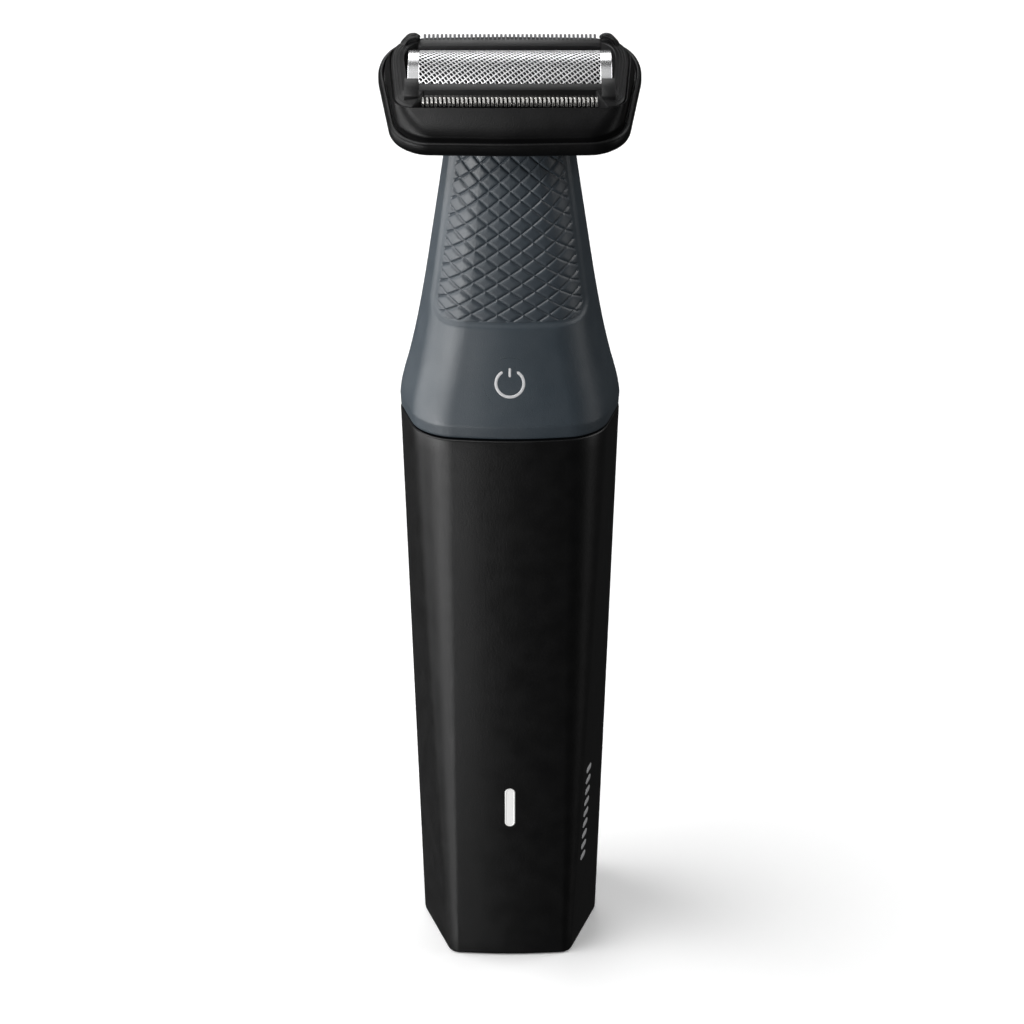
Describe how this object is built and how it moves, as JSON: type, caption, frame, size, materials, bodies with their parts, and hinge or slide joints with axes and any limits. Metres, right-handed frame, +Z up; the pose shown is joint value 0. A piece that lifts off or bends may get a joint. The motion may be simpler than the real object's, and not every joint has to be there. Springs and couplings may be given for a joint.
{
  "type": "body groomer",
  "caption": "Slim cordless body groomer with a foil shaving head between two trimmer combs, a textured grip neck and a tapered handle.",
  "frame": {"origin": "centre of the flat end that the handle stands on, at the middle of the object's box", "axes": "+Z up along the handle towards the shaving head, -Y out of the front with the button, +X across the handle"},
  "size_m": [0.0454, 0.0332, 0.1753],
  "materials": {
    "black_plastic": "fine-grained matte",
    "head_plastic": "fine-grained matte",
    "slate_plastic": "satin soft-touch",
    "grip_rubber": "satin",
    "inner_plastic": "moulded",
    "seal_rubber": "matte",
    "steel": "ground",
    "foil_steel": "bright",
    "brass": "bright",
    "board": "satin",
    "cell_wrap": "glossy film",
    "lens": "frosted"
  },
  "bodies": {
    "handle": {"handle_sleeve": "black_plastic", "indicator_lens": "lens", "bottom_cap": "black_plastic", "socket_housing": "black_plastic", "socket_pin_left": "brass", "socket_pin_right": "brass", "neck_front_cover": "slate_plastic", "neck_rear_cover": "slate_plastic", "front_grip_pad": "grip_rubber", "rear_grip_pad": "grip_rubber", "neck_seal": "seal_rubber", "head_mount": "head_plastic", "drive_seal": "seal_rubber", "inner_frame": "inner_plastic", "battery_cell": "cell_wrap", "battery_tab_top": "steel", "battery_tab_bottom": "steel", "circuit_board": "board", "board_screw_lower": "steel", "board_screw_upper": "steel", "tact_switch": "inner_plastic", "status_led": "lens", "motor_can": "steel", "motor_end_cap": "black_plastic", "motor_bracket": "inner_plastic", "motor_screw_left": "steel", "motor_screw_right": "steel", "motor_bush": "brass"},
    "rotor": {"motor_shaft": "steel", "eccentric_cam": "inner_plastic", "drive_pin": "steel"},
    "button": {"power_button": "slate_plastic"},
    "head": {"head_base": "head_plastic", "head_shell": "head_plastic", "head_socket": "head_plastic", "foil_frame": "head_plastic", "shaving_foil": "foil_steel", "front_trimmer_guard": "steel", "rear_trimmer_guard": "steel"},
    "cutter": {"cutter_block": "steel", "cutter_carrier": "inner_plastic", "drive_yoke": "inner_plastic", "front_trimmer_blade": "steel", "rear_trimmer_blade": "steel", "cutter_spring_left": "steel", "cutter_spring_right": "steel"}
  },
  "joints": [
    {"name": "head_release", "type": "slide", "parent": "handle", "child": "head", "axis": [0, 0, 1], "range_m": [0, 0.03]},
    {"name": "cutter_stroke", "type": "slide", "parent": "head", "child": "cutter", "axis": [1, 0, 0], "range_m": [-0.0008, 0.0008]},
    {"name": "motor_spin", "type": "hinge", "parent": "handle", "child": "rotor", "pos_m": [0, 0, 0.118], "axis": [0, 0, 1], "continuous": true},
    {"name": "button_press", "type": "slide", "parent": "handle", "child": "button", "axis": [0, 0.9833, -0.1822], "range_m": [0, 0.0005], "stiffness_N_per_m": 1000}
  ]
}
